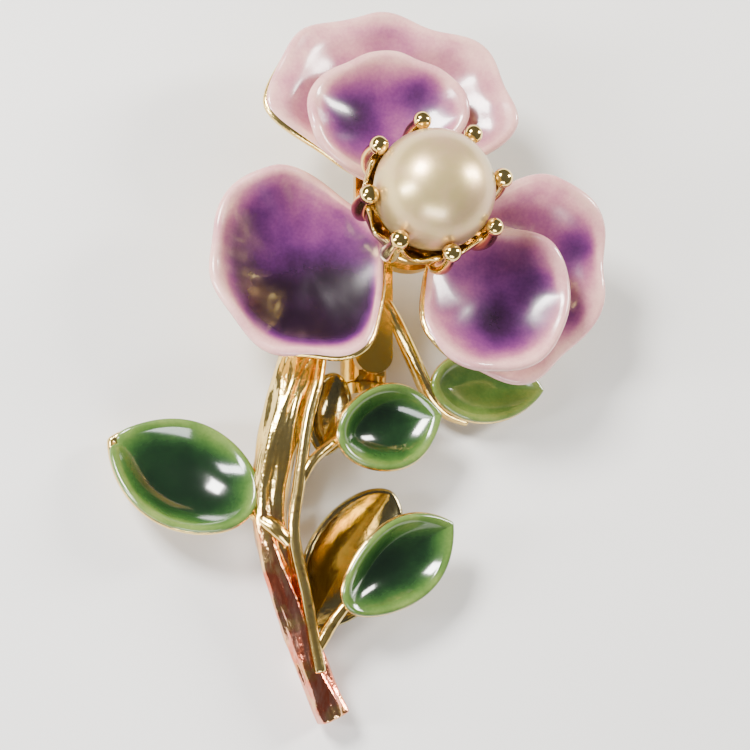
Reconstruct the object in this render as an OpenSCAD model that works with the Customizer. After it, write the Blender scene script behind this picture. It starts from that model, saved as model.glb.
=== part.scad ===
// Flower hat pin: an enamelled spray with a pearl in a beaded setting, on a hinged pin and safety catch.
// Front faces +Z and the stem runs towards -Y. It lies on its back on the plane z = 0.

/* [Pearl and setting] */
// Diameter of the pearl
pearl_d = 8; // [7.8:0.1:8.1]
// Number of beaded prongs round the pearl
prong_count = 8; // [6:1:9]
// Diameter of the bead on each prong
bead_d = 1.2; // [0.9:0.05:1.3]
// Angle of the first prong from +X
prong_turn = 12; // [0:1:44]

/* [Enamelled sheet] */
// Thickness of the petals' metal
petal_t = 0.5; // [0.4:0.05:0.5]
// Thickness of the leaves' metal
leaf_t = 0.5; // [0.4:0.05:0.6]
// Greatest depth of the enamel
enamel_t = 0.22; // [0.12:0.01:0.24]

/* [Pin and catch] */
// Diameter of the pin's wire
wire_d = 0.8; // [0.6:0.05:0.9]
// Length of the wire's straight part, before its point
wire_len = 13; // [12:0.5:13.5]
// Width of the back plate's arm
arm_w = 2.6; // [2.2:0.1:2.8]

/* [Hidden] */

// The flower's axis stands here, so that the origin is under the middle of the whole spray.
flower_xy = [3, 9.6];

// Heights above the plane that the pin lies on
pin_z = 1.5;
disc_back_z = 3.95;
arm_back_z = 4.1;
plate_front_z = 4.8;
setting_z = 7.3;
pearl_seat_z = setting_z + 0.72;
pearl_z = pearl_seat_z + pearl_d / 2;

// Back plate: a disc behind the flower and an arm along the pin
pin_x = -2.35;
disc_r = 3.2;
hinge_y = 8.2;
catch_y = -10.6;
catch_len = 2.4;
arm_top_y = hinge_y + 1.6;

gold = [0.85, 0.66, 0.32];
steel = [0.75, 0.76, 0.78];
purple = [0.45, 0.18, 0.5];
green = [0.16, 0.42, 0.18];
cream = [0.93, 0.89, 0.8];

// ---- Swept stems ----

function unit(v) = v / norm(v);

// A point on the smooth curve through list p, at share t of the span after point i
function curve_at(p, i, t) =
    let (a = p[max(i - 1, 0)], b = p[i], c = p[min(i + 1, len(p) - 1)], d = p[min(i + 2, len(p) - 1)])
    0.5 * (2 * b + (c - a) * t + (2 * a - 5 * b + 4 * c - d) * t * t + (3 * b - a - 3 * c + d) * t * t * t);

function smooth_path(p, steps) = concat(
    [for (i = [0 : len(p) - 2]) for (k = [0 : steps - 1]) curve_at(p, i, k / steps)],
    [p[len(p) - 1]]);

// Points of one ring: q is [x, y, z, radius], dir the way the stem runs there
function ring(q, dir, sides, bark, turn) =
    let (side = unit(cross(dir, [0, 0, 1])), up = cross(side, dir))
    [for (k = [0 : sides - 1])
        let (a = 360 * k / sides, r = q[3] * (1 + bark * cos(4 * a + turn)))
        [q[0], q[1], q[2]] + r * (cos(a) * side + sin(a) * up)];

function xyz(q) = [q[0], q[1], q[2]];

// A solid stem through points [x, y, z, radius]; bark is the depth of its ridges as a share of the radius
module sweep(p, steps, sides, bark = 0) {
    path = smooth_path(p, steps);
    n = len(path);
    dirs = [for (i = [0 : n - 1]) unit(xyz(path[min(i + 1, n - 1)]) - xyz(path[max(i - 1, 0)]))];
    rings = [for (i = [0 : n - 1]) ring(path[i], dirs[i], sides, bark, 18 * i)];
    points = [for (r = rings) for (v = r) v];
    walls = [for (i = [0 : n - 2]) for (k = [0 : sides - 1])
        let (a = i * sides + k, b = i * sides + (k + 1) % sides)
        each [[a, b, b + sides], [a, b + sides, a + sides]]];
    caps = [[for (k = [sides - 1 : -1 : 0]) k], [for (k = [0 : sides - 1]) (n - 1) * sides + k]];
    polyhedron(points, concat(walls, caps), convexity = 4);
}

// ---- Cupped sheets: petals and leaves ----

// Rings of a cupped sheet, as shares of the way from its middle to its rim. Enamel covers all but the last.
ring_shares = [0.3, 0.55, 0.75, 0.88, 0.96, 1];

// A closed solid between two surfaces over rings of equal length. Each surface is [middle point, rings].
module between(top, bottom) {
    rows = len(top[1]);
    cols = len(top[1][0]);
    shared = top[1][rows - 1] == bottom[1][rows - 1];
    count = 1 + rows * cols;
    function flat(rings) = [for (r = rings) for (v = r) v];
    points = concat([top[0]], flat(top[1]), [bottom[0]], flat(bottom[1]));
    function at(face, row, col) =
        let (f = shared && row == rows - 1 ? 0 : face)
        f * count + 1 + row * cols + col % cols;
    faces = [for (f = [0, 1]) for (c = [0 : cols - 1])
        let (fan = [f * count, at(f, 0, c + 1), at(f, 0, c)]) f == 0 ? fan : [fan[0], fan[2], fan[1]]];
    strips = [for (f = [0, 1]) for (r = [0 : rows - 2]) for (c = [0 : cols - 1])
        let (a = at(f, r, c), b = at(f, r, c + 1), d = at(f, r + 1, c), e = at(f, r + 1, c + 1))
        each (f == 0 ? [[a, b, e], [a, e, d]] : [[a, e, b], [a, d, e]])];
    rim = shared ? [] : [for (c = [0 : cols - 1])
        let (a = at(0, rows - 1, c), b = at(0, rows - 1, c + 1),
            d = at(1, rows - 1, c), e = at(1, rows - 1, c + 1))
        each [[a, b, e], [a, e, d]]];
    polyhedron(points, concat(faces, strips, rim), convexity = 6);
}

// Rounded step from 0 at a to 1 at b
function step_up(a, b, x) = let (t = min(max((x - a) / (b - a), 0), 1)) t * t * (3 - 2 * t);

// Petals. Each is a list in this order: direction, distance of its root, height of its root, droop,
// half length, half width, cup depth, number of scallops, scallop depth, turn of scallops, lip, ruffle,
// turn about its middle, roll.
DIRECTION = 0;
ROOT_R = 1;
ROOT_Z = 2;
DROOP = 3;
HALF_LENGTH = 4;
HALF_WIDTH = 5;
CUP = 6;
SCALLOPS = 7;
SCALLOP = 8;
TURN = 9;
LIP = 10;
RUFFLE = 11;
TWIST = 12;
ROLL = 13;
top_back = [102, 2.4, 6.45, 6, 6.4, 8.6, 2.6, 7, 0.035, 20, 0.5, 0.25, -12, 0];
top_front = [109, 2.4, 7.2, 6, 4.7, 5.4, 2.2, 5, 0.03, 60, 0, 0.1, -6, 0];
left_front = [208, 2.6, 6.45, 10, 6.3, 6.8, 2.9, 7, 0.03, 100, 0.1, 0.15, 0, 0];
right_back = [-24, 2.4, 6.45, 13, 6.3, 7.4, 2.6, 6, 0.035, 0, 0.5, 0.2, 0, 8];
right_front = [-48, 2.4, 7.2, 8, 5.4, 5.4, 2.3, 5, 0.02, 40, 0, 0.1, 0, 0];
// Share of a petal's half length from its root to its middle
near_share = 0.86;
// How far the near end is drawn in sideways, and the share of the cup's depth that it rises
pinch = 0.35;
near_rise = 0.06;
petal_cols = 40;

// The rim's distance from the petal's middle: a scalloped oval, narrower towards the flower's axis
function petal_rim(p, a) =
    let (oval = 1 / sqrt(pow(cos(a) / p[HALF_LENGTH], 2) + pow(sin(a) / p[HALF_WIDTH], 2)),
        open = step_up(-1, -0.2, cos(a)))
    oval * (1 + p[SCALLOP] * open * cos(p[SCALLOPS] * a + p[TURN])) * (near_share + (1 - near_share) * open);

// Height of the petal's front face over its middle, at share s of the way to the rim. The near end is low.
function petal_height(p, s, a) =
    let (open = step_up(-1, 0.1, cos(a)), wall = p[CUP] * pow(s, 2.3))
    wall * (near_rise + (1 - near_rise) * open)
        + open * (p[RUFFLE] * pow(s, 5) * sin(p[SCALLOPS] * a + p[TURN]) - p[LIP] * step_up(0.8, 1, s));

function petal_point(p, s, a, lift) =
    let (r = s * petal_rim(p, a), x = r * cos(a),
        drawn = 1 - pinch * step_up(0.1, 1, -x / (near_share * p[HALF_LENGTH])))
    [x, r * sin(a) * drawn, petal_height(p, s, a) + lift];

// One surface of a petal, lifted along Z; with fade, the lift goes down to nothing at the last ring
function petal_surface(p, shares, lift, fade) =
    let (last = shares[len(shares) - 1])
    [[0, 0, lift], [for (s = shares) [for (k = [0 : petal_cols - 1])
        petal_point(p, s, 360 * k / petal_cols, lift * (fade ? 1 - step_up(0.7, last, s) : 1))]]];

enamel_shares = [for (i = [0 : len(ring_shares) - 2]) ring_shares[i]];

module at_petal(p)
    rotate([0, 0, p[DIRECTION]]) translate([p[ROOT_R], 0, p[ROOT_Z]]) rotate([0, p[DROOP], 0])
        translate([near_share * p[HALF_LENGTH], 0, -near_rise * p[CUP]])
            rotate([p[ROLL], 0, p[TWIST]]) children();

module petal_metal(p) color(gold) at_petal(p)
    between(petal_surface(p, ring_shares, 0, false), petal_surface(p, ring_shares, -petal_t, false));

module petal_enamel(p) color(purple) at_petal(p)
    between(petal_surface(p, enamel_shares, enamel_t, true), petal_surface(p, enamel_shares, 0, false));

// Leaves. Each is a list in this order: base, tip, width, cup depth, roll to the right, droop of the tip,
// belly, point.
BASE = 0;
TIP = 1;
WIDTH = 2;
LEAF_CUP = 3;
LEAF_ROLL = 4;
TIP_DROOP = 5;
BELLY = 6;
POINT = 7;
left_leaf = [[-10.25, -20.1, 3.4], [-19.5, -15.4, 1.9], 7.0, 1.7, 4, 0.6, 0.1, 0.35];
middle_leaf = [[-4.8, -15.3, 4.7], [2.2, -13.0, 3.9], 5.3, 1.6, 12, 0.2, 0.0, 0.35];
lower_leaf = [[-4.1, -26.0, 3.6], [3.1, -20.3, 3.4], 5.2, 1.5, 18, 0.2, -0.1, 0.35];
right_leaf = [[2.3, -10.4, 2.1], [10.3, -10.2, 1.5], 4.6, 1.2, 8, 0.1, 0.15, 0.2];
// Turned-back gold halves under two of the leaves
middle_fold = [[-5.7, -16.2, 4.3], [-4.7, -10.5, 3.2], 2.8, 0.9, 8, 0, 0, -0.2];
lower_fold = [[-6.1, -27.4, 2.0], [-0.6, -18.1, 1.8], 5.6, 1.3, 5, 0, 0, -0.2];
leaf_cols = 28;

function leaf_len(l) = norm(l[TIP] - l[BASE]);

// Belly moves the widest place towards the base, and point sharpens the tip and rounds the base.
function leaf_point(l, s, a, lift) =
    let (half = leaf_len(l) / 2, x = s * half * cos(a), side = s * l[WIDTH] / 2 * sign(sin(a)),
        y = side * pow(abs(sin(a)), 1.4 + l[POINT] * cos(a)) * (1 - l[BELLY] * cos(a)))
    [x, y, l[LEAF_CUP] * (pow(s, 2.6) - 0.5) - l[TIP_DROOP] * pow(max(x, 0) / half, 2) + lift];

function leaf_surface(l, shares, lift, fade) =
    let (last = shares[len(shares) - 1])
    [[0, 0, -0.5 * l[LEAF_CUP] + lift], [for (s = shares) [for (k = [0 : leaf_cols - 1])
        leaf_point(l, s, 360 * k / leaf_cols, lift * (fade ? 1 - step_up(0.7, last, s) : 1))]]];

module at_leaf(l) {
    run = l[TIP] - l[BASE];
    translate((l[BASE] + l[TIP]) / 2)
        rotate([0, -asin(run[2] / norm(run)), atan2(run[1], run[0])])
            rotate([l[LEAF_ROLL], 0, 0]) children();
}

module leaf_metal(l) color(gold) at_leaf(l)
    between(leaf_surface(l, ring_shares, 0, false), leaf_surface(l, ring_shares, -leaf_t, false));

module leaf_enamel(l) color(green) at_leaf(l)
    between(leaf_surface(l, enamel_shares, enamel_t, true), leaf_surface(l, enamel_shares, 0, false));

// ---- Stems ----

main_stem_path = [
    [-2.6, -2.0, 4.75, 0.6], [-3.7, -3.3, 4.65, 0.65], [-5.3, -5.2, 3.9, 0.95], [-6.9, -8.6, 3.75, 1.3],
    [-7.9, -12.2, 4.0, 1.35], [-8.8, -16.3, 3.8, 1.25], [-9.1, -20, 3.4, 1.15], [-8.4, -23.4, 3.0, 1.05],
    [-7.1, -26.8, 2.4, 1], [-5.8, -30, 1.9, 1], [-4.2, -33.2, 1.4, 1.1]];
side_stem_path = [
    [-5.4, -30.4, 2.7, 0.4], [-6, -28, 3.0, 0.44], [-6.6, -25.4, 3.6, 0.42], [-7.6, -21.6, 4.5, 0.4],
    [-7.4, -18.3, 5.0, 0.42], [-6.9, -14.2, 5.2, 0.42], [-6.2, -11.2, 5.1, 0.42], [-5.7, -7.2, 4.3, 0.4]];
left_stalk_path = [[-7.8, -22.3, 4.1, 0.4], [-8.9, -21.2, 4.2, 0.55], [-10.4, -20.0, 3.2, 0.4]];
middle_stalk_path = [[-7.45, -18.7, 4.9, 0.3], [-6.5, -16.8, 5.1, 0.36], [-4.5, -14.95, 4.5, 0.34]];
lower_stalk_path = [[-5.6, -28.8, 2.7, 0.4], [-4.8, -27.2, 3.3, 0.42], [-3.7, -25.7, 3.6, 0.36]];
right_stalk_path = [
    [-1.6, -5.4, 4.5, 0.45], [-0.9, -6.6, 4.5, 0.5], [-0.2, -7.7, 4.1, 0.52], [1.0, -9.4, 3.0, 0.55],
    [2.2, -11.0, 1.9, 0.55], [3.6, -12.1, 1.3, 0.5], [5.2, -12.6, 1.2, 0.42]];

module main_stem() color(gold) sweep(main_stem_path, 5, 16, 0.07);
module side_stem() color(gold) sweep(side_stem_path, 4, 8);
module stalk(path) color(gold) sweep(path, 4, 8);

// ---- Flower centre ----

module calyx() color(gold) difference() {
    rotate_extrude($fn = 48) polygon([
        [0, plate_front_z], [3, plate_front_z], [3, setting_z - 1.3], [2.55, setting_z - 0.9],
        [2.5, setting_z - 0.25], [2, setting_z], [0, setting_z]]);
    rivet_hole();
}

rivet_r = 0.75;
rivet_head_r = 1.25;
rivet_head_t = 0.3;
peg_r = 0.45;
glue_t = 0.03;

module rivet_hole() translate([0, 0, disc_back_z - 1]) cylinder(r = rivet_r, h = 6, $fn = 32);

// A cup with an arch cut between each two prongs. Its profile runs up the outside and down the inside.
module pearl_setting() color(gold) translate([0, 0, setting_z]) {
    bead_r = bead_d / 2;
    ring_r = pearl_d / 2 + bead_r - 0.02;
    bead_z = pearl_z - setting_z + 0.6;
    prong_foot = 1.9;
    prong_r = 0.7;
    arch_z = 4;
    arch_r = 1.2;
    difference() {
        rotate_extrude($fn = 64) polygon([
            [0, 0], [2.0, 0], [3.3, 0.8], [4.1, 1.8], [4.4, 3.0], [4.4, 3.7],
            [4.05, 3.7], [3.95, 3.0], [3.6, 1.9], [2.9, 1.2], [1.6, 0.45], [0, 0.45]]);
        translate([0, 0, -1]) cylinder(r = rivet_r, h = 4, $fn = 32);
        for (k = [0 : prong_count - 1])
            rotate([0, 0, prong_turn + 360 * (k + 0.5) / prong_count]) translate([3, 0, arch_z])
                rotate([0, 90, 0]) cylinder(r = arch_r, h = 3, $fn = 32);
    }
    for (k = [0 : prong_count - 1])
        rotate([0, 0, prong_turn + 360 * k / prong_count]) translate([ring_r, 0, 0]) {
            translate([0, 0, prong_foot])
                cylinder(r1 = prong_r, r2 = 0.6 * prong_r, h = bead_z - prong_foot, $fn = 24);
            translate([0, 0, bead_z]) sphere(r = bead_r, $fn = 32);
        }
}

module pearl() color(cream) difference() {
    translate([0, 0, pearl_z]) sphere(d = pearl_d, $fn = 96);
    translate([0, 0, pearl_seat_z - 1]) cylinder(r = peg_r + glue_t, h = 4.2, $fn = 32);
}

module pearl_peg() color(gold)
    translate([0, 0, disc_back_z]) cylinder(r = peg_r, h = pearl_seat_z + 3 - disc_back_z, $fn = 32);

module centre_rivet() color(gold) difference() {
    union() {
        translate([0, 0, disc_back_z]) cylinder(r = rivet_r, h = setting_z + 0.6 - disc_back_z, $fn = 32);
        translate([0, 0, disc_back_z]) cylinder(r = rivet_head_r, h = rivet_head_t, $fn = 32);
        translate([0, 0, setting_z + 0.45]) cylinder(r = rivet_head_r - 0.2, h = 0.2, $fn = 32);
    }
    translate([0, 0, disc_back_z - 1]) cylinder(r = peg_r, h = 8, $fn = 32);
}

// ---- Pin finding on the back ----

module back_plate() color(gold) difference() {
    union() {
        translate([0, 0, disc_back_z]) cylinder(r = disc_r, h = plate_front_z - disc_back_z, $fn = 64);
        translate([pin_x, catch_y + arm_w / 2, arm_back_z]) {
            cylinder(d = arm_w, h = plate_front_z - arm_back_z, $fn = 48);
            translate([-arm_w / 2, 0, 0])
                cube([arm_w, arm_top_y - catch_y - arm_w / 2, plate_front_z - arm_back_z]);
        }
    }
    rivet_hole();
    translate([0, 0, disc_back_z - 1]) cylinder(r = rivet_head_r, h = 1 + rivet_head_t, $fn = 32);
}

hinge_pin_r = 0.45;
hinge_play = 0.05;
tang_w = 1.3;
tang_r = 1.1;
ear_r = 1.3;
ear_t = 0.5;
ear_gap = tang_w + 0.2;
rivet_head_w = 0.3;
bracket_t = 0.5;

// A drum along the pin's axis, from y to y + l
module along(r, y, l, fn = 48)
    translate([pin_x, y + l, pin_z]) rotate([90, 0, 0]) cylinder(r = r, h = l, $fn = fn);

// A turned bar along X through the hinge's axis
module across(r, w, fn = 32)
    translate([pin_x - w / 2, hinge_y, pin_z]) rotate([0, 90, 0]) cylinder(r = r, h = w, $fn = fn);

module hinge_bracket() color(gold) difference() {
    union() {
        translate([pin_x - ear_gap / 2 - ear_t, hinge_y - ear_r, arm_back_z - bracket_t])
            cube([ear_gap + 2 * ear_t, arm_top_y - hinge_y + ear_r, bracket_t]);
        for (side = [-1, 1]) translate([side * (ear_gap + ear_t) / 2, 0, 0]) {
            across(ear_r, ear_t, 48);
            translate([pin_x - ear_t / 2, hinge_y - ear_r, pin_z])
                cube([ear_t, 2 * ear_r, arm_back_z - pin_z - 0.3]);
        }
    }
    across(hinge_pin_r, 6);
}

module hinge_rivet() color(gold) {
    across(hinge_pin_r, ear_gap + 2 * ear_t);
    for (side = [-1, 1])
        translate([side * (ear_gap / 2 + ear_t + rivet_head_w / 2), 0, 0]) across(0.8, rivet_head_w);
}

// The wire leaves a collar on the tang and ends in a point just past the catch.
collar_r = 0.65;
wire_y = hinge_y - 1.8;
point_y = catch_y - 1;

module pin_stem() color(steel) difference() {
    union() {
        across(tang_r, tang_w, 48);
        along(collar_r, wire_y, 1);
        along(wire_d / 2, wire_y - wire_len, wire_len + 0.5, 32);
        translate([pin_x, wire_y - wire_len, pin_z]) rotate([90, 0, 0])
            cylinder(d1 = wire_d, d2 = 0.12, h = wire_y - wire_len - point_y, $fn = 32);
    }
    across(hinge_pin_r + hinge_play, 6);
}

// Catch: a slotted housing, and a slotted roller that turns in it to shut the slot over the wire
catch_foot_w = 1.8;
lever_rod_r = 0.4;
roller_play = 0.05;
roller_in_r = 0.5;
roller_out_r = 0.95;
housing_in_r = 1;
flange_r = 1.25;
slot_w = 1;
flange_t = 0.35;
lever_t = 0.8;
lever_reach = 2.1;

module slot(y, l) translate([pin_x - slot_w / 2, y - 1, -1]) cube([slot_w, l + 2, 1 + pin_z]);

module catch_housing() color(gold) difference() {
    union() {
        along(norm([pin_z, slot_w / 2]), catch_y, catch_len, 64);
        translate([pin_x - catch_foot_w / 2, catch_y, pin_z + 1.3])
            cube([catch_foot_w, catch_len, arm_back_z - pin_z - 1.3]);
    }
    along(housing_in_r, catch_y - 1, catch_len + 2);
    slot(catch_y, catch_len);
}

// Turns inside the housing between two flanges; the lower one carries the lever.
module catch_roller() color(gold) {
    low_y = catch_y - lever_t - roller_play;
    high_y = catch_y + catch_len + roller_play;
    difference() {
        union() {
            along(roller_out_r, low_y, high_y + flange_t - low_y);
            along(flange_r, low_y, lever_t);
            along(flange_r, high_y, flange_t);
            translate([pin_x + 0.7, low_y, pin_z - lever_rod_r])
                cube([lever_reach - lever_rod_r - 0.7, lever_t, 2 * lever_rod_r]);
            translate([lever_reach - lever_rod_r, 0, 0]) along(lever_rod_r, low_y, lever_t, 32);
        }
        along(roller_in_r, low_y - 1, high_y - low_y + 3);
        slot(low_y, high_y - low_y + 1);
    }
}

module placed() translate([flower_xy[0], flower_xy[1], 0]) children();

placed() main_stem();
placed() side_stem();
placed() stalk(left_stalk_path);  // left_leaf_stalk
placed() stalk(middle_stalk_path);  // middle_leaf_stalk
placed() stalk(lower_stalk_path);  // lower_leaf_stalk
placed() stalk(right_stalk_path);  // right_leaf_stalk
placed() leaf_metal(left_leaf);
placed() leaf_metal(middle_leaf);
placed() leaf_metal(lower_leaf);
placed() leaf_metal(right_leaf);
placed() leaf_enamel(left_leaf);  // left_leaf_enamel
placed() leaf_enamel(middle_leaf);  // middle_leaf_enamel
placed() leaf_enamel(lower_leaf);  // lower_leaf_enamel
placed() leaf_enamel(right_leaf);  // right_leaf_enamel
placed() leaf_metal(middle_fold);  // middle_leaf_fold
placed() leaf_metal(lower_fold);  // lower_leaf_fold
placed() petal_metal(top_back);  // top_back_petal
placed() petal_metal(top_front);  // top_front_petal
placed() petal_metal(left_front);  // left_petal
placed() petal_metal(right_back);  // right_back_petal
placed() petal_metal(right_front);  // right_front_petal
placed() petal_enamel(top_back);  // top_back_enamel
placed() petal_enamel(top_front);  // top_front_enamel
placed() petal_enamel(left_front);  // left_enamel
placed() petal_enamel(right_back);  // right_back_enamel
placed() petal_enamel(right_front);  // right_front_enamel
placed() calyx();
placed() pearl_setting();
placed() pearl();
placed() pearl_peg();
placed() centre_rivet();
placed() back_plate();
placed() hinge_bracket();
placed() hinge_rivet();
placed() pin_stem();
placed() catch_housing();
placed() catch_roller();
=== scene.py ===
"""A flower hat pin: enamelled petals and leaves, a pearl in a beaded setting, and a hinged pin with a catch."""

import math

import bpy
from mathutils import Matrix, Vector, noise


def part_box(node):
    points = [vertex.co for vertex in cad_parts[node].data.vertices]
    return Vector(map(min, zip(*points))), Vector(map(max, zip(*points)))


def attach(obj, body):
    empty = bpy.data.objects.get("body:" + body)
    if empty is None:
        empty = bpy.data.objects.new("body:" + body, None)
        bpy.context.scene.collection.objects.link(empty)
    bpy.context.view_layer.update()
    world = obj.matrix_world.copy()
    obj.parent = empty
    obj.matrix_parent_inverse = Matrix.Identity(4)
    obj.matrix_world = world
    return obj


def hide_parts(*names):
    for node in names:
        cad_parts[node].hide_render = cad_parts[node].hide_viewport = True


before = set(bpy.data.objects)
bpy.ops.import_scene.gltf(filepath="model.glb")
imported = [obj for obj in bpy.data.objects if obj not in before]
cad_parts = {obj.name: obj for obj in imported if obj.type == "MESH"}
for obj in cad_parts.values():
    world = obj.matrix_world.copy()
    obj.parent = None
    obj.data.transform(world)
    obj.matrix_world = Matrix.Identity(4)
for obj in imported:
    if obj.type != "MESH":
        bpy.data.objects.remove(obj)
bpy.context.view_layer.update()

MM = 0.001
BROOCH = "brooch"


def middle(node):
    """The middle of a CAD node's box, in millimetres."""
    low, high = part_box(node)
    return (Vector(low) + Vector(high)) / 2 / MM


# The flower's axis, which everything in the spray is placed from, in millimetres
AXIS = middle("calyx")
AXIS.z = 0


# ---------------------------------------------------------------- shared shapes


def step_up(a, b, x):
    """Rounded step from 0 at a to 1 at b."""
    t = min(max((x - a) / (b - a), 0), 1)
    return t * t * (3 - 2 * t)


def lerp(a, b, t):
    return a + (b - a) * t


def new_piece(name, points, faces, material, body=BROOCH, floats=None):
    """A smooth mesh piece from points in millimetres, riding on a body. floats are named values per point."""
    mesh = bpy.data.meshes.new(name)
    mesh.from_pydata([Vector(p) * MM for p in points], [], faces)
    for key, values in (floats or {}).items():
        mesh.attributes.new(key, "FLOAT", "POINT").data.foreach_set("value", values)
    mesh.materials.append(material)
    mesh.polygons.foreach_set("use_smooth", [True] * len(mesh.polygons))
    mesh.validate()
    mesh.update()
    piece = bpy.data.objects.new(name, mesh)
    bpy.context.scene.collection.objects.link(piece)
    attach(piece, body)
    return piece


def join_rings(rows, cols, start=0):
    """Quads between rows of cols points each, closed round."""
    faces = []
    for r in range(rows - 1):
        for c in range(cols):
            a = start + r * cols + c
            b = start + r * cols + (c + 1) % cols
            faces.append((a, b, b + cols, a + cols))
    return faces


def fan(centre, first, cols, flip=False):
    """Triangles from one point to a closed row."""
    faces = []
    for c in range(cols):
        tri = (centre, first + (c + 1) % cols, first + c)
        faces.append(tri[::-1] if flip else tri)
    return faces


def closed_skin(rings, first_pole, last_pole, clockwise=True):
    """Points and outward faces of a closed skin: a pole, rings of equal length, and a second pole.

    The rings run clockwise, or else anticlockwise, as seen looking back from the last pole to the first.
    """
    cols = len(rings[0])
    points = [first_pole] + [p for ring in rings for p in ring] + [last_pole]
    faces = fan(0, 1, cols) + join_rings(len(rings), cols, 1)
    faces += fan(len(points) - 1, 1 + (len(rings) - 1) * cols, cols, flip=True)
    return points, [face[::-1] for face in faces] if clockwise else faces


def curve_at(p, i, t):
    """A point of the smooth curve through list p, at share t after point i."""
    a, b = p[max(i - 1, 0)], p[i]
    c, d = p[min(i + 1, len(p) - 1)], p[min(i + 2, len(p) - 1)]
    return [
        0.5 * (2 * bb + (cc - aa) * t + (2 * aa - 5 * bb + 4 * cc - dd) * t * t
               + (3 * bb - aa - 3 * cc + dd) * t**3)
        for aa, bb, cc, dd in zip(a, b, c, d)
    ]


def smooth_path(p, steps):
    path = [curve_at(p, i, k / steps) for i in range(len(p) - 1) for k in range(steps)]
    return path + [list(p[-1])]


# ---------------------------------------------------------------- materials


def new_material(name, **values):
    """A Principled material with its unvaried values set on the shader's own sockets."""
    material = bpy.data.materials.new(name)
    material.use_nodes = True
    shader = material.node_tree.nodes["Principled BSDF"]
    for key, value in values.items():
        shader.inputs[key.replace("_", " ")].default_value = value
    return material, material.node_tree, shader


def add_node(tree, kind, links=None, **values):
    """A shader node. links maps its inputs to other sockets; values set its properties."""
    node = tree.nodes.new(kind)
    for key, value in values.items():
        setattr(node, key, value)
    for key, source in (links or {}).items():
        if isinstance(source, bpy.types.NodeSocket):
            tree.links.new(source, node.inputs[key])
        else:
            node.inputs[key].default_value = source
    return node


def place(tree):
    """Position on the object in metres."""
    return add_node(tree, "ShaderNodeTexCoord").outputs["Object"]


def noise_at(tree, where, per_mm, detail=3.0, rough=0.5, stretch=None):
    """Noise whose features are about 1 / per_mm millimetres across."""
    if stretch:
        where = add_node(tree, "ShaderNodeMapping", {"Vector": where, "Scale": stretch}).outputs["Vector"]
    node = add_node(tree, "ShaderNodeTexNoise", {
        "Vector": where, "Scale": per_mm / MM, "Detail": detail, "Roughness": rough})
    return node.outputs["Fac"]


def ramp(tree, fac, stops, mode="EASE"):
    node = add_node(tree, "ShaderNodeValToRGB", {"Fac": fac})
    node.color_ramp.interpolation = mode
    elements = node.color_ramp.elements
    while len(elements) < len(stops):
        elements.new(0.5)
    for element, (position, colour) in zip(elements, stops):
        element.position = position
        element.color = (*colour, 1)
    return node.outputs["Color"]


def grey_ramp(tree, fac, low, high, value_low, value_high):
    """Maps fac between low and high to a value between value_low and value_high."""
    node = add_node(tree, "ShaderNodeMapRange", {
        "Value": fac, "From Min": low, "From Max": high, "To Min": value_low, "To Max": value_high})
    return node.outputs["Result"]


def math_node(tree, operation, a, b):
    return add_node(tree, "ShaderNodeMath", {0: a, 1: b}, operation=operation).outputs[0]


def mix_colour(tree, fac, a, b, blend="MIX"):
    node = tree.nodes.new("ShaderNodeMix")
    node.data_type = "RGBA"
    node.blend_type = blend
    for index, source in ((0, fac), (6, a), (7, b)):
        if isinstance(source, bpy.types.NodeSocket):
            tree.links.new(source, node.inputs[index])
        else:
            node.inputs[index].default_value = source if index == 0 else (*source, 1)
    return node.outputs[2]


def bump(tree, shader, layers):
    """Chains height layers, each (height socket, strength, distance in mm), into the shader's normal."""
    normal = None
    for height, strength, depth in layers:
        links = {"Height": height, "Strength": strength, "Distance": depth * MM}
        if normal:
            links["Normal"] = normal
        normal = add_node(tree, "ShaderNodeBump", links).outputs["Normal"]
    tree.links.new(normal, shader.inputs["Normal"])


PALE_GOLD = (0.92, 0.69, 0.25)
DEEP_GOLD = (0.80, 0.49, 0.11)
TARNISH = (0.26, 0.13, 0.04)
COPPER = (0.80, 0.20, 0.10)
ROSE = (0.88, 0.40, 0.28)
THIN_GILT = (0.82, 0.66, 0.42)
WORN_STEEL = (0.66, 0.64, 0.60)


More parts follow.
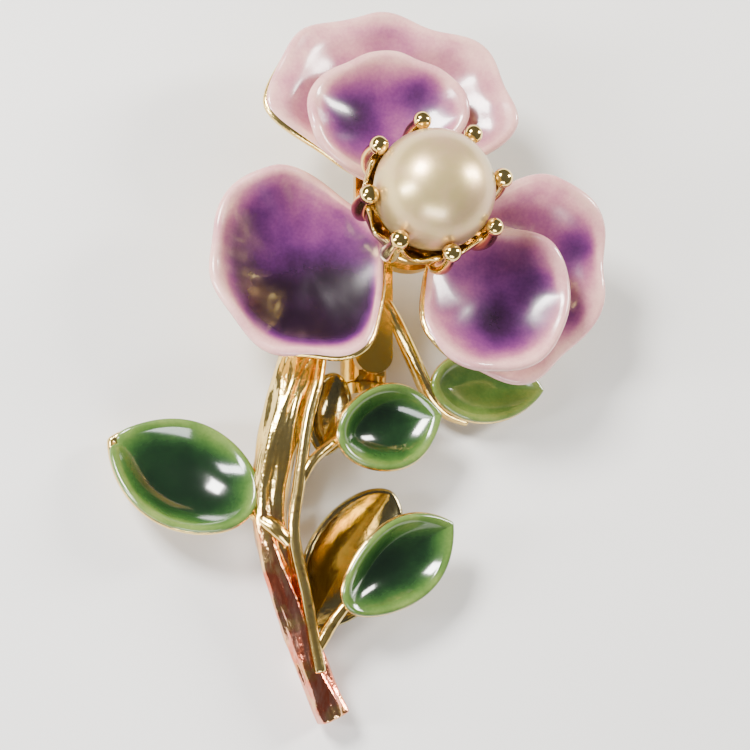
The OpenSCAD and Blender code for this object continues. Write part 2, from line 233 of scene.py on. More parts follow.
def gold(name, rough=0.2, cast=0.5, tarnish=0.35, copper_below=None, tint=(1, 1, 1)):
    """Gilt metal: cast ripple, fine scratches, patches of tarnish. Copper shows below copper_below along Y."""
    material, tree, shader = new_material(name, Metallic=1.0)
    where = place(tree)
    patches = noise_at(tree, where, 0.45, 5, 0.6)
    ripple = noise_at(tree, where, 1.6, 4, 0.55)
    grain = noise_at(tree, where, 9, 3, 0.6)
    scratch = noise_at(tree, where, 5, 2, 0.5, stretch=(6, 0.5, 6))
    colour = mix_colour(tree, grey_ramp(tree, patches, 0.4, 0.62, 0, 0.55), PALE_GOLD, DEEP_GOLD)
    colour = mix_colour(tree, grey_ramp(tree, ripple, 0.56, 0.75, 0, tarnish), colour, TARNISH)
    if copper_below is not None:
        y = add_node(tree, "ShaderNodeSeparateXYZ", {"Vector": where}).outputs["Y"]
        streaks = noise_at(tree, where, 0.8, 4, 0.6, stretch=(2.2, 0.45, 2.2))
        wander = math_node(tree, "MULTIPLY_ADD", streaks, 9 * MM)
        wander.node.inputs[2].default_value = -4.5 * MM
        edge = math_node(tree, "ADD", y, wander)
        share = grey_ramp(tree, edge, (copper_below + 3) * MM, (copper_below - 3) * MM, 0, 1)
        gilt = noise_at(tree, where, 0.7, 3, 0.5)
        share = math_node(tree, "MULTIPLY", share, grey_ramp(tree, gilt, 0.52, 0.66, 1, 0.4))
        red = mix_colour(tree, grey_ramp(tree, streaks, 0.4, 0.6, 0, 1), COPPER, ROSE)
        colour = mix_colour(tree, share, colour, red)
    tree.links.new(mix_colour(tree, 1.0, colour, tint, "MULTIPLY"), shader.inputs["Base Color"])
    worn = grey_ramp(tree, patches, 0.35, 0.7, 0.85, 1.2)
    uneven = math_node(tree, "MULTIPLY", grey_ramp(tree, scratch, 0.35, 0.7, 0.9, 1.12), worn)
    tree.links.new(math_node(tree, "MULTIPLY", uneven, rough), shader.inputs["Roughness"])
    bump(tree, shader, [(ripple, cast, 0.1), (scratch, 0.06, 0.01), (grain, 0.1, 0.008)])
    return material


def enamel(name, stops, mottle, depth, rough):
    """Fired enamel: the tone given over the piece, which on the left petal holds a painted reflection, with
    cloudy mottling, under a glassy surface with a swell and pits.
    """
    material, tree, shader = new_material(
        name, IOR=1.5, Coat_Weight=0.5, Coat_Roughness=rough / 2, Subsurface_Weight=depth,
        Subsurface_Scale=0.4 * MM)
    shader.inputs["Subsurface Radius"].default_value = (1.0, 0.6, 0.8)
    where = place(tree)
    tone = add_node(tree, "ShaderNodeAttribute", attribute_name="tone").outputs["Fac"]
    cloud = noise_at(tree, where, 0.5, 3, 0.45)
    speck = noise_at(tree, where, 4.5, 2, 0.5)
    shift = grey_ramp(tree, cloud, 0.3, 0.7, -mottle, mottle)
    shift = math_node(tree, "ADD", shift, grey_ramp(tree, speck, 0.35, 0.65, -0.25 * mottle, 0.25 * mottle))
    colour = ramp(tree, math_node(tree, "ADD", tone, shift), stops, "B_SPLINE")
    tree.links.new(colour, shader.inputs["Base Color"])
    tree.links.new(grey_ramp(tree, cloud, 0.3, 0.7, rough, 1.2 * rough), shader.inputs["Roughness"])
    swell = noise_at(tree, where, 0.3, 2, 0.4)
    pits = grey_ramp(tree, noise_at(tree, where, 3.2, 1, 0.3), 0.22, 0.30, 0, 1)
    bump(tree, shader, [(swell, 0.25, 0.2), (pits, 0.12, 0.015)])
    return material


PETAL_STOPS = [
    (0.0, (0.006, 0.0015, 0.005)), (0.16, (0.022, 0.005, 0.024)), (0.34, (0.062, 0.011, 0.078)),
    (0.52, (0.160, 0.034, 0.130)), (0.70, (0.330, 0.100, 0.175)), (0.86, (0.560, 0.240, 0.260)),
    (1.0, (0.740, 0.440, 0.370))]
LEAF_STOPS = [
    (0.0, (0.003, 0.009, 0.004)), (0.25, (0.007, 0.024, 0.007)), (0.5, (0.024, 0.070, 0.014)),
    (0.75, (0.080, 0.150, 0.028)), (1.0, (0.230, 0.270, 0.070))]

M_PETAL = enamel("petal_enamel", PETAL_STOPS, 0.07, 0.12, 0.22)
M_LEAF = enamel("leaf_enamel", LEAF_STOPS, 0.09, 0.08, 0.13)
M_GOLD = gold("gilt_cast", 0.2, 0.5, 0.35)
M_BRIGHT = gold("gilt_polished", 0.12, 0.15, 0.15)
M_STEM = gold("gilt_stem", 0.15, 0.6, 0.3, copper_below=-12.5)
M_LEAF_GOLD = gold("gilt_leaf", 0.17, 0.3, 0.6)
# Painted shade: a darkened copy of the leaves' gilt for the leaf backs folded under the leaves.
M_FOLD = gold("gilt_fold_painted_shade", 0.15, 0.3, 0.6, tint=(0.42, 0.48, 0.66))
M_YELLOW = gold("gilt_yellow", 0.18, 0.25, 0.3, tint=(1.0, 0.86, 0.50))


def pearl_material():
    """Pearl lustre: a cream body with painted shade, darker and browner down in its seat and lighter towards
    the top, with rose clouds over a faintly banded nacre.
    """
    material, tree, shader = new_material(
        "pearl", Metallic=0.6, Coat_Weight=0.5, Coat_Roughness=0.14, Subsurface_Weight=0.05,
        Subsurface_Scale=0.6 * MM)
    where = place(tree)
    (_, _, low), (_, _, high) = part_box("pearl")
    z = add_node(tree, "ShaderNodeSeparateXYZ", {"Vector": where}).outputs["Z"]
    # Painted shade: the body darkens from the top down to brown where the pearl sits in the setting's cup.
    body = ramp(tree, grey_ramp(tree, z, low, high, 0, 1), [
        (0.0, (0.24, 0.15, 0.05)), (0.45, (0.44, 0.31, 0.12)), (0.7, (0.53, 0.39, 0.165)),
        (1.0, (0.57, 0.43, 0.19))])
    cloud = noise_at(tree, where, 0.3, 4, 0.6)
    body = mix_colour(tree, grey_ramp(tree, cloud, 0.42, 0.7, 0, 0.5), body, (0.68, 0.40, 0.30))
    tree.links.new(body, shader.inputs["Base Color"])
    bands = noise_at(tree, where, 2.5, 3, 0.5, stretch=(1, 1, 2.5))
    tree.links.new(grey_ramp(tree, cloud, 0.3, 0.7, 0.28, 0.4), shader.inputs["Roughness"])
    bump(tree, shader, [(cloud, 0.25, 0.1), (bands, 0.06, 0.03)])
    return material


def wire_material():
    """Drawn wire, thinly gilded: fine lines along Y and steel showing through."""
    material, tree, shader = new_material("gilt_wire", Metallic=1.0)
    where = place(tree)
    lines = noise_at(tree, where, 14, 2, 0.5, stretch=(1, 0.06, 1))
    wear = noise_at(tree, where, 0.5, 4, 0.6, stretch=(1, 0.5, 1))
    colour = mix_colour(tree, grey_ramp(tree, wear, 0.45, 0.65, 0, 0.8), THIN_GILT, WORN_STEEL)
    tree.links.new(colour, shader.inputs["Base Color"])
    tree.links.new(grey_ramp(tree, lines, 0.3, 0.7, 0.16, 0.26), shader.inputs["Roughness"])
    bump(tree, shader, [(lines, 0.3, 0.01)])
    return material


M_PEARL = pearl_material()
M_WIRE = wire_material()


# ---------------------------------------------------------------- cupped sheets


class Sheet:
    """A cupped enamelled sheet. Lengths are in millimetres.

    Subclasses give front(s, a): a point of the metal's front at share s of the way to the rim and angle a.
    """

    cols = 168
    thick = 0.5
    enamel_thick = 0.22
    # The enamel's rounded lip: its radius, its middle's depth under the front, and how far it passes the rim
    lip = 0.36
    lip_sink = 0.14
    overhang = 0.06
    # How far the metal's rim stays back from the sheet's edge, and the enamel's underside from its front
    rim_inset = 0.05
    bed = 0.05
    bare = ()
    tones = staticmethod(lambda s, a: 0.5)
    rows = [
        0.06, 0.13, 0.2, 0.27, 0.34, 0.41, 0.48, 0.54, 0.6, 0.66, 0.71, 0.76, 0.8, 0.84, 0.87,
        0.895, 0.915, 0.93]
    last_metal_row = 0.955
    # Where points stand round the lip and the rim, in degrees from the outward direction towards the front
    lip_turns = (78, 60, 42, 24, 6, -12, -30, -48)
    rim_turns = (75, 45, 15, -15, -45, -75)

    def angles(self):
        return [2 * math.pi * k / self.cols for k in range(self.cols)]

    def normal(self, s, a):
        """Unit normal of the front at (s, a), out of the cup."""
        d = 0.01
        along = self.front(s + d, a) - self.front(s - d, a)
        across = self.front(s, a + d) - self.front(s, a - d)
        return along.cross(across).normalized()

    def outward(self, s, a):
        """Unit direction in the sheet's surface, square to its normal, towards the rim."""
        n = self.normal(s, a)
        out = self.front(s, a) - self.front(s - 0.02, a)
        return (out - n * out.dot(n)).normalized()

    def pole(self):
        points = [self.front(0.02, a) for a in self.angles()[:: self.cols // 12]]
        up = self.normal(0.05, 0.0).lerp(self.normal(0.05, math.pi), 0.5).normalized()
        return sum(points, Vector()) / len(points), up

    def end_share(self, a):
        """How far the enamel reaches to the rim. bare lists (angle, spread, share) where it stops short."""
        reach = 1.0
        for angle, spread, share in self.bare:
            off = math.remainder(a - math.radians(angle), 2 * math.pi)
            reach -= share * math.exp(-((off / math.radians(spread)) ** 2))
        return reach

    def build_enamel(self, name, node, material, slot):
        angles = self.angles()
        centre, up = self.pole()
        rings, tone = [], [self.tones(0, 0)]
        for s in self.rows:
            rings.append([self.front(s * self.end_share(a), a)
                          + self.normal(s * self.end_share(a), a) * self.enamel_thick for a in angles])
            tone += [self.tones(s, a) for a in angles]
        for turn in self.lip_turns:
            ring = []
            for a in angles:
                s = self.end_share(a)
                n, out = self.normal(s, a), self.outward(s, a)
                middle_of_lip = self.front(s, a) - n * self.lip_sink - out * (self.lip - self.overhang)
                turned = math.radians(turn)
                ring.append(middle_of_lip + (out * math.cos(turned) + n * math.sin(turned)) * self.lip)
            rings.append(ring)
            tone += [self.tones(1, a) for a in angles]
        for s in reversed(self.rows[:-1:3]):
            rings.append([self.front(s * self.end_share(a), a) - self.normal(s, a) * self.bed for a in angles])
            tone += [0.5] * self.cols
        points, faces = closed_skin(rings, centre + up * self.enamel_thick, centre - up * self.bed)
        piece = new_piece(name, points, faces, material, floats={"tone": tone + [0.5]})
        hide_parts(node)

    def build_metal(self, name, node, material, slot="gold_plate"):
        angles = self.angles()
        centre, up = self.pole()
        half = self.thick / 2
        rings = [[self.front(s, a) for a in angles] for s in self.rows[2::3] + [self.last_metal_row]]
        for turn in self.rim_turns:
            ring = []
            for a in angles:
                n, out = self.normal(0.99, a), self.outward(0.99, a)
                turned = math.radians(turn)
                base = self.front(1.0, a) - n * half - out * (half + self.rim_inset)
                ring.append(base + (out * math.cos(turned) + n * math.sin(turned)) * half)
            rings.append(ring)
        for s in reversed(self.rows[1::2]):
            rings.append([self.front(s, a) - self.normal(s, a) * self.thick for a in angles])
        points, faces = closed_skin(rings, centre, centre - up * self.thick)
        piece = new_piece(name, points, faces, material)
        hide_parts(node)


class Petal(Sheet):
    """A petal whose root is soldered in the calyx. Lengths in mm, angles in degrees, as in the CAD model."""

    near_share = 0.86
    near_rise = 0.06
    pinch = 0.35
    # Hand-made unevenness: of the rim's reach, as a share, and of its height in millimetres
    uneven_reach = 0.03
    uneven_height = 0.22

    def __init__(self, heading, root, height, droop, half, width, cup, scallops, scallop, turn, fall, ruffle,
                 twist=0, roll=0):
        self.half, self.width, self.cup = half, width, cup
        self.scallops, self.scallop, self.turn = scallops, scallop, math.radians(turn)
        self.fall, self.ruffle = fall, ruffle
        rad = math.radians
        self.place = (
            Matrix.Translation(AXIS) @ Matrix.Rotation(rad(heading), 4, "Z")
            @ Matrix.Translation((root, 0, height)) @ Matrix.Rotation(rad(droop), 4, "Y")
            @ Matrix.Translation((self.near_share * half, 0, -self.near_rise * cup))
            @ Matrix.Rotation(rad(twist), 4, "Z") @ Matrix.Rotation(rad(roll), 4, "X"))

    def rim(self, a):
        oval = 1 / math.hypot(math.cos(a) / self.half, math.sin(a) / self.width)
        open_ = step_up(-1, -0.2, math.cos(a))
        wave = 1 + open_ * (self.scallop * math.cos(self.scallops * a + self.turn)
                            + self.uneven_reach * self.hand(a, 1.9))
        return oval * wave * (self.near_share + (1 - self.near_share) * open_)

    def hand(self, a, pace):
        """Unevenness of a hand-made rim, between about -1 and 1."""
        return noise.noise(Vector((pace * math.cos(a), pace * math.sin(a), self.turn)))

    def height(self, s, a):
        open_ = step_up(-1, 0.1, math.cos(a))
        wall = self.cup * s**2.3
        ripple = s**5 * (self.ruffle * math.sin(self.scallops * a + self.turn)
                         + self.uneven_height * self.hand(a, 2.6))
        return wall * lerp(self.near_rise, 1, open_) + open_ * (ripple - self.fall * step_up(0.8, 1, s))

    def front(self, s, a):
        r = s * self.rim(a)
        x = r * math.cos(a)
        drawn = 1 - self.pinch * step_up(0.1, 1, -x / (self.near_share * self.half))
        return self.place @ Vector((x, r * math.sin(a) * drawn, self.height(s, a)))


class Leaf(Sheet):
    """A leaf from its base to its tip. Lengths in mm, roll in degrees, as in the CAD model."""

    lip = 0.22
    lip_sink = 0.08

    def __init__(self, base, tip, width, cup, roll, droop, belly, point):
        base, tip = Vector(base) + AXIS, Vector(tip) + AXIS
        run = tip - base
        self.half, self.width, self.cup, self.droop = run.length / 2, width, cup, droop
        self.belly, self.point = belly, point
        self.place = (
            Matrix.Translation((base + tip) / 2) @ Matrix.Rotation(math.atan2(run.y, run.x), 4, "Z")
            @ Matrix.Rotation(-math.asin(run.z / run.length), 4, "Y")
            @ Matrix.Rotation(math.radians(roll), 4, "X"))

    def front(self, s, a):
        sine, cosine = math.sin(a), math.cos(a)
        x = s * self.half * cosine
        y = s * self.width / 2 * math.copysign(abs(sine) ** (1.4 + self.point * cosine), sine)
        y *= 1 - self.belly * cosine
        z = self.cup * (s**2.6 - 0.5) - self.droop * (max(x, 0) / self.half) ** 2
        return self.place @ Vector((x, y, z))


# Petals: heading, root, height of root, droop, half length, half width, cup, scallops, depth, turn,
# fall of the rim, ruffle, twist, roll
PETALS = {
    "top_back": Petal(102, 2.4, 6.45, 6, 6.4, 8.6, 2.6, 7, 0.035, 20, 0.5, 0.25, -12, 0),
    "top_front": Petal(109, 2.4, 7.2, 6, 4.7, 5.4, 2.2, 5, 0.03, 60, 0, 0.1, -6, 0),
    "left": Petal(208, 2.6, 6.45, 10, 6.3, 6.8, 2.9, 7, 0.03, 100, 0.1, 0.15, 0, 0),
    "right_back": Petal(-24, 2.4, 6.45, 13, 6.3, 7.4, 2.6, 6, 0.035, 0, 0.5, 0.2, 0, 8),
    "right_front": Petal(-48, 2.4, 7.2, 8, 5.4, 5.4, 2.3, 5, 0.02, 40, 0, 0.1, 0, 0),
}

LEAVES = {
    "left": Leaf((-10.25, -20.1, 3.4), (-19.5, -15.4, 1.9), 7.0, 1.7, 4, 0.6, 0.1, 0.35),
    "middle": Leaf((-4.8, -15.3, 4.7), (2.2, -13.0, 3.9), 5.3, 1.6, 12, 0.2, 0.0, 0.35),
    "lower": Leaf((-4.1, -26.0, 3.6), (3.1, -20.3, 3.4), 5.2, 1.5, 18, 0.2, -0.1, 0.35),
    "right": Leaf((2.3, -10.4, 2.1), (10.3, -10.2, 1.5), 4.6, 1.2, 8, 0.1, 0.15, 0.2),
}
FOLDS = {
    "middle": Leaf((-5.7, -16.2, 4.3), (-4.7, -10.5, 3.2), 2.8, 0.9, 8, 0, 0, -0.2),
    "lower": Leaf((-6.1, -27.4, 2.0), (-0.6, -18.1, 1.8), 5.6, 1.3, 5, 0, 0, -0.2),
}


def shade(profile, waves=(0, 0), pools=()):
    """Tone over a sheet. profile gives it at shares of the way to the rim.

    waves (count, turn in degrees) scallop its bands. pools change it round (angle, share, size, change).
    """

    def tones(s, a):
        count, turn = waves
        reach = s + 0.025 * math.cos(count * a + math.radians(turn)) * step_up(0.5, 0.8, s) if count else s
        value = profile[-1][1]
        for (s0, v0), (s1, v1) in zip(profile, profile[1:]):
            if s0 <= reach < s1:
                value = lerp(v0, v1, (reach - s0) / (s1 - s0))
                break
        for angle, share, size, change in pools:
            angle = math.radians(angle)
            gap = math.hypot(
                s * math.cos(a) - share * math.cos(angle), s * math.sin(a) - share * math.sin(angle))
            value += change * math.exp(-((gap / size) ** 2)) * (1 - step_up(0.86, 0.95, reach))
        return min(max(value, 0.0), 1.0)

    return tones


# The left petal's lighter pools at the top and towards the pearl are a painted reflection of the pearl.
PETALS["left"].tones = shade(
    [(0, 0.32), (0.6, 0.3), (0.8, 0.36), (0.9, 0.62), (0.955, 0.86), (1.01, 0.94)], (7, 100),
    [(90, 0.55, 0.6, -0.42), (20, 0.65, 0.4, -0.2), (-115, 0.62, 0.4, 0.26), (180, 0.5, 0.35, 0.1)])
PETALS["top_front"].tones = shade(
    [(0, 0.45), (0.5, 0.5), (0.75, 0.62), (0.88, 0.78), (0.94, 0.9), (1.01, 0.94)], (5, 60),
    [(60, 0.5, 0.38, -0.34), (-58, 0.66, 0.27, -0.3), (-80, 0.2, 0.35, 0.1)])
PETALS["right_front"].tones = shade(
    [(0, 0.42), (0.5, 0.45), (0.75, 0.58), (0.88, 0.76), (0.94, 0.88), (1.01, 0.93)], (5, 40),
    [(-20, 0.45, 0.4, -0.32), (60, 0.7, 0.3, -0.3), (-110, 0.5, 0.45, 0.15)])
PETALS["top_back"].tones = shade(
    [(0, 0.6), (0.6, 0.7), (0.85, 0.8), (0.94, 0.9), (1.01, 0.97)], (7, 20),
    [(0, 0.86, 0.16, -0.12), (60, 0.8, 0.25, 0.1), (-60, 0.8, 0.3, 0.06)])
PETALS["right_back"].tones = shade(
    [(0, 0.5), (0.6, 0.62), (0.8, 0.72), (0.9, 0.84), (0.95, 0.9), (1.01, 0.95)], (6, 0),
    [(48, 0.75, 0.22, -0.38), (-8, 0.8, 0.2, -0.3)])

PETALS["left"].bare = [(134, 35, 0.045), (75, 25, 0.02)]
PETALS["right_front"].bare = [(-132, 40, 0.055)]
PETALS["top_back"].bare = [(113, 35, 0.03)]

LEAVES["left"].tones = shade(
    [(0, 0.02), (0.6, 0.08), (0.75, 0.3), (0.87, 0.5), (0.94, 0.68), (1.01, 0.76)], (0, 0),
    [(-90, 0.7, 0.3, 0.1)])
LEAVES["left"].bare = [(0, 16, 0.12)]
LEAVES["middle"].tones = shade(
    [(0, 0.05), (0.5, 0.12), (0.7, 0.34), (0.84, 0.52), (0.94, 0.7), (1.01, 0.76)], (0, 0),
    [(90, 0.7, 0.3, 0.12)])
LEAVES["lower"].tones = shade(
    [(0, 0.05), (0.55, 0.14), (0.7, 0.32), (0.84, 0.5), (0.94, 0.68), (1.01, 0.76)], (0, 0),
    [(60, 0.75, 0.4, 0.2)])
LEAVES["right"].tones = shade(
    [(0, 0.6), (0.5, 0.62), (0.8, 0.7), (0.93, 0.8), (1.01, 0.84)], (0, 0), [(0, 0.4, 0.4, 0.1)])


def make_petals():
    for name, petal in PETALS.items():
        petal.build_metal(name + "_petal_metal", name + "_petal", M_GOLD)
        petal.build_enamel(name + "_petal_enamel", name + "_enamel", M_PETAL, "petal_enamel")


def make_leaves():
    for name, leaf in LEAVES.items():
        leaf.build_metal(name + "_leaf_metal", name + "_leaf", M_LEAF_GOLD)
        leaf.build_enamel(name + "_leaf_glaze", name + "_leaf_enamel", M_LEAF, "leaf_enamel")
    for name, fold in FOLDS.items():
        fold.build_metal(name + "_leaf_back", name + "_leaf_fold", M_FOLD)


# ---------------------------------------------------------------- stems


def tube(path, steps, sides, shape=lambda t, a: 1.0):
    """Points and faces of a solid through (x, y, z, radius). shape(t, a) scales the radius."""
    path = smooth_path(path, steps)
    run = Vector(path[-1][:3]) - Vector(path[0][:3])
    upright = Vector((0, 0, 1)) if run.xy.length > abs(run.z) else Vector((0.6, 0.8, 0))
    rings = []
    for i, q in enumerate(path):
        before, after = path[max(i - 1, 0)], path[min(i + 1, len(path) - 1)]
        along = (Vector(after[:3]) - Vector(before[:3])).normalized()
        side = along.cross(upright).normalized()
        up = side.cross(along)
        ring = []
        for k in range(sides):
            a = 2 * math.pi * k / sides
            r = q[3] * shape(i / (len(path) - 1), a)
            ring.append(Vector(q[:3]) + AXIS + (side * math.cos(a) + up * math.sin(a)) * r)
        rings.append(ring)
    return closed_skin(rings, Vector(path[0][:3]) + AXIS, Vector(path[-1][:3]) + AXIS)


def sweep(name, node, path, steps, sides, shape, material):
    points, faces = tube(path, steps, sides, shape)
    piece = new_piece(name, points, faces, material)
    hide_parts(node)


MAIN_STEM = [
    (-2.6, -2.0, 4.75, 0.6), (-3.7, -3.3, 4.65, 0.65), (-5.3, -5.2, 3.9, 0.95), (-6.9, -8.6, 3.75, 1.3),
    (-7.9, -12.2, 4.0, 1.35), (-8.8, -16.3, 3.8, 1.25), (-9.1, -20, 3.4, 1.15), (-8.4, -23.4, 3.0, 1.05),
    (-7.1, -26.8, 2.4, 1), (-5.8, -30, 1.9, 1), (-4.2, -33.2, 1.4, 1.1)]
SIDE_STEM = [
    (-5.4, -30.4, 2.7, 0.4), (-6, -28, 3.0, 0.44), (-6.6, -25.4, 3.6, 0.42), (-7.6, -21.6, 4.5, 0.4),
    (-7.4, -18.3, 5.0, 0.42), (-6.9, -14.2, 5.2, 0.42), (-6.2, -11.2, 5.1, 0.42), (-5.7, -7.2, 4.3, 0.4)]
STALKS = {
    "left": [(-7.8, -22.3, 4.1, 0.4), (-8.9, -21.2, 4.2, 0.55), (-10.4, -20.0, 3.2, 0.4)],
    "middle": [(-7.45, -18.7, 4.9, 0.3), (-6.5, -16.8, 5.1, 0.36), (-4.5, -14.95, 4.5, 0.34)],
    "lower": [(-5.6, -28.8, 2.7, 0.4), (-4.8, -27.2, 3.3, 0.42), (-3.7, -25.7, 3.6, 0.36)],
    "right": [
        (-1.6, -5.4, 4.5, 0.45), (-0.9, -6.6, 4.5, 0.5), (-0.2, -7.7, 4.1, 0.52), (1.0, -9.4, 3.0, 0.55),
        (2.2, -11.0, 1.9, 0.55), (3.6, -12.1, 1.3, 0.5), (5.2, -12.6, 1.2, 0.42)],
}


def bark(t, a):
    """Twisting flutes as on the CAD stem, with a groove between two strands and finer furrows."""
    flute = 0.05 * math.cos(4 * a + t * 15.7)
    middle_of_groove = math.radians(112 + 26 * math.sin(t * 9))
    off = math.atan2(math.sin(a - middle_of_groove), math.cos(a - middle_of_groove))
    groove = -0.2 * math.exp(-((off / 0.24) ** 2)) * step_up(0.05, 0.2, t)
    furrow = (0.1 + 0.08 * t) * noise.noise(Vector((2.2 * math.cos(a), 2.2 * math.sin(a), t * 14)))
    fine = 0.05 * noise.noise(Vector((7 * math.cos(a), 7 * math.sin(a), t * 20 + 7)))
    return (1.02 + flute + groove + furrow + fine) * blunt(t, 0.01)


# A stem's radius at its very end, as a share
END_R = 0.45


def blunt(t, share):
    """Rounds off both ends of a stem over a share of its length."""
    end = min(t, 1 - t) / share
    return lerp(END_R, 1, math.sqrt(1 - (1 - min(end, 1)) ** 2))


def smooth_stalk(t, a):
    return (1 + 0.06 * noise.noise(Vector((1.5 * math.cos(a), 1.5 * math.sin(a), t * 7)))) * blunt(t, 0.02)


def make_stems():
    sweep("main_stem_cast", "main_stem", MAIN_STEM, 26, 64, bark, M_STEM)
    sweep("side_stem_cast", "side_stem", SIDE_STEM, 16, 24, smooth_stalk, M_LEAF_GOLD)
    for name, path in STALKS.items():
        sweep(name + "_stalk_cast", name + "_leaf_stalk", path, 12, 24, smooth_stalk, M_LEAF_GOLD)


# ---------------------------------------------------------------- setting


SETTING_Z, SETTING_TOP = (z / MM for z in (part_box("pearl_setting")[0][2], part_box("pearl_setting")[1][2]))
PEARL_R = (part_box("pearl")[1][0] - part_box("pearl")[0][0]) / 2 / MM
PRONGS = 8
PRONG_TURN = math.radians(12)
BEAD_R = 0.6
# Depth of the arches between prongs, and of the flutes outside and inside as a share of the radius
ARCH = 1.5
FLUTE_OUT = 0.035
FLUTE_IN = 0.01
# The cup's outside and inside, as (radius, height over the setting's foot)
CUP_OUT = [(2.0, 0), (2.7, 0.3), (3.3, 0.8), (3.8, 1.3), (4.15, 1.9), (4.38, 2.6), (4.42, 3.2), (4.42, 3.7)]
CUP_IN = [(4.1, 3.7), (4.08, 3.2), (3.98, 2.6), (3.7, 1.95), (3.3, 1.5), (2.7, 1.0), (1.6, 0.45)]


def crown_ring(r, z, cols, flute):
    """A ring of the cup: fluted under the prongs, with its upper part dipping in an arch between them."""
    ring = []
    for k in range(cols):
        a = 2 * math.pi * k / cols
        phase = math.cos(PRONGS * (a - PRONG_TURN))
        dip = ARCH * (0.5 - 0.5 * phase) ** 1.4 * step_up(1.6, 3.7, z)
        ring.append(Vector((math.cos(a), math.sin(a), 0)) * r * (1 + flute * phase * step_up(0.2, 1.6, z))
                    + Vector((0, 0, SETTING_Z + z - dip)) + AXIS)
    return ring


def make_setting():
    """A fluted crown of a cup, and eight tapering prongs leaning in over the pearl, each ending in a bead."""
    cols = 256
    rings = [crown_ring(r, z, cols, FLUTE_OUT) for r, z in smooth_path(CUP_OUT, 3)]
    top_r, top_z = (CUP_OUT[-1][0] + CUP_IN[0][0]) / 2, CUP_OUT[-1][1]
    half = (CUP_OUT[-1][0] - CUP_IN[0][0]) / 2
    for turn in (30, 60, 90, 120, 150):
        turned = math.radians(turn)
        r, z = top_r + half * math.cos(turned), top_z + half * math.sin(turned)
        rings.append(crown_ring(r, z, cols, FLUTE_OUT))
    rings += [crown_ring(r, z, cols, FLUTE_IN) for r, z in smooth_path(CUP_IN, 3)]
    foot = Vector((0, 0, SETTING_Z)) + AXIS
    points, faces = closed_skin(rings, foot, foot + Vector((0, 0, CUP_IN[-1][1])), clockwise=False)
    ring_r = PEARL_R + BEAD_R - 0.02
    bead_z = SETTING_TOP - BEAD_R
    for k in range(PRONGS):
        turned = PRONG_TURN + 2 * math.pi * k / PRONGS
        grow = 1.06 + 0.05 * math.sin(5 * k + 1)
        bead = [(ring_r, bead_z + BEAD_R * math.sin(t), BEAD_R * math.cos(t) * grow)
                for t in map(math.radians, (-45, -20, 5, 30, 52, 70, 84))]
        side = [(3.7, SETTING_Z + 1.2, 0.45), (4.25, SETTING_Z + 1.9, 0.66), (4.62, SETTING_Z + 2.9, 0.62),
                (4.72, SETTING_Z + 3.9, 0.5), (4.66, bead_z - 0.62, 0.4)] + bead
        path = [(r * math.cos(turned), r * math.sin(turned), z, rad) for r, z, rad in side]
        more, quads = tube(path, 4, 28)
        start = len(points)
        points += more
        faces += [tuple(start + i for i in face) for face in quads]
    piece = new_piece("setting_crown", points, faces, M_BRIGHT)
    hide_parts("pearl_setting")


# ---------------------------------------------------------------- back


def dress_cad_nodes():
    """Materials on the CAD nodes that keep their own shape."""
    dress = {
        "calyx": M_GOLD, "pearl": M_PEARL, "pearl_peg": M_BRIGHT, "centre_rivet": M_BRIGHT,
        "back_plate": M_YELLOW, "hinge_bracket": M_YELLOW, "hinge_rivet": M_BRIGHT, "pin_stem": M_WIRE,
        "catch_housing": M_YELLOW, "catch_roller": M_BRIGHT}
    for node, material in dress.items():
        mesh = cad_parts[node].data
        mesh.materials.clear()
        mesh.materials.append(material)


# ---------------------------------------------------------------- stage


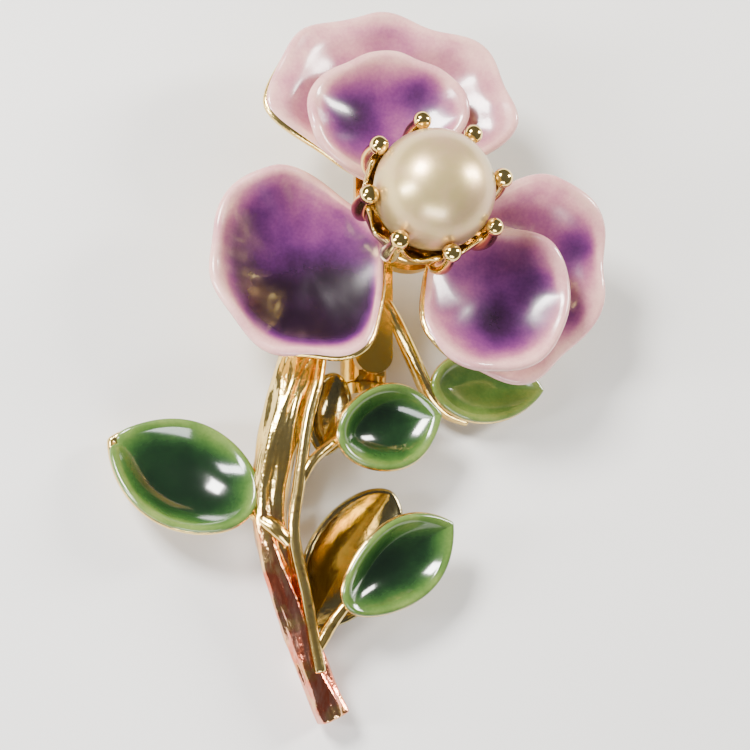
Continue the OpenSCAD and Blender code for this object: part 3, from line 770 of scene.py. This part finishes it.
def make_camera():
    """Looks down on the front, 20 degrees off the vertical and from the lower left."""
    tilt, turn, distance = math.radians(20), math.radians(40), 130 * MM
    aim = Vector((0.67, -1.19, 5.0)) * MM
    back = Vector((-math.sin(tilt) * math.sin(turn), -math.sin(tilt) * math.cos(turn), math.cos(tilt)))
    right = Vector((0, 1, 0)).cross(back).normalized()
    up = back.cross(right)
    camera = bpy.data.objects.new("camera", bpy.data.cameras.new("camera"))
    bpy.context.scene.collection.objects.link(camera)
    turned = Matrix((right, up, back)).transposed().to_4x4()
    camera.matrix_world = Matrix.Translation(aim + back * distance) @ turned
    camera.data.lens = 93.6
    camera.data.sensor_width = 36
    camera.data.clip_start = 0.01
    bpy.context.scene.camera = camera


def area_light(name, place_mm, aim_mm, size_mm, watts, colour=(1, 1, 1)):
    light = bpy.data.lights.new(name, "AREA")
    light.shape = "RECTANGLE"
    light.size, light.size_y = size_mm[0] * MM, size_mm[1] * MM
    light.energy = watts
    light.color = colour
    lamp = bpy.data.objects.new(name, light)
    bpy.context.scene.collection.objects.link(lamp)
    lamp.location = Vector(place_mm) * MM
    lamp.rotation_euler = (Vector(place_mm) - Vector(aim_mm)).to_track_quat("Z", "Y").to_euler()


def make_stage():
    """A pale floor, a dim even sky and four soft lamps."""
    reach = 1500 * MM
    mesh = bpy.data.meshes.new("floor")
    mesh.from_pydata(
        [(-reach, -reach, 0), (reach, -reach, 0), (reach, reach, 0), (-reach, reach, 0)], [], [(0, 1, 2, 3)])
    floor = bpy.data.objects.new("floor", mesh)
    bpy.context.scene.collection.objects.link(floor)
    material, tree, shader = new_material("floor", Roughness=0.7)
    soft = noise_at(tree, place(tree), 0.02, 2, 0.5)
    colour = ramp(tree, soft, [(0.3, (0.66, 0.65, 0.63)), (0.7, (0.70, 0.69, 0.67))])
    tree.links.new(colour, shader.inputs["Base Color"])
    mesh.materials.append(material)
    world = bpy.data.worlds.new("studio")
    bpy.context.scene.world = world
    world.use_nodes = True
    world.node_tree.nodes["Background"].inputs["Color"].default_value = (0.9, 0.93, 1.0, 1)
    world.node_tree.nodes["Background"].inputs["Strength"].default_value = 0.16
    area_light("key", (-130, 90, 170), (0, 0, 8), (70, 60), 1.5, (1.0, 0.98, 0.95))
    area_light("side", (170, 70, 110), (0, 0, 8), (40, 90), 0.8, (1.0, 0.97, 0.92))
    area_light("left", (-180, -30, 90), (0, -5, 4), (30, 90), 0.5, (0.97, 0.98, 1.0))
    area_light("fill", (-20, -220, 120), (0, 0, 5), (160, 60), 0.5, (0.95, 0.97, 1.0))


make_camera()
make_petals()
make_leaves()
make_stems()
make_setting()
dress_cad_nodes()
make_stage()
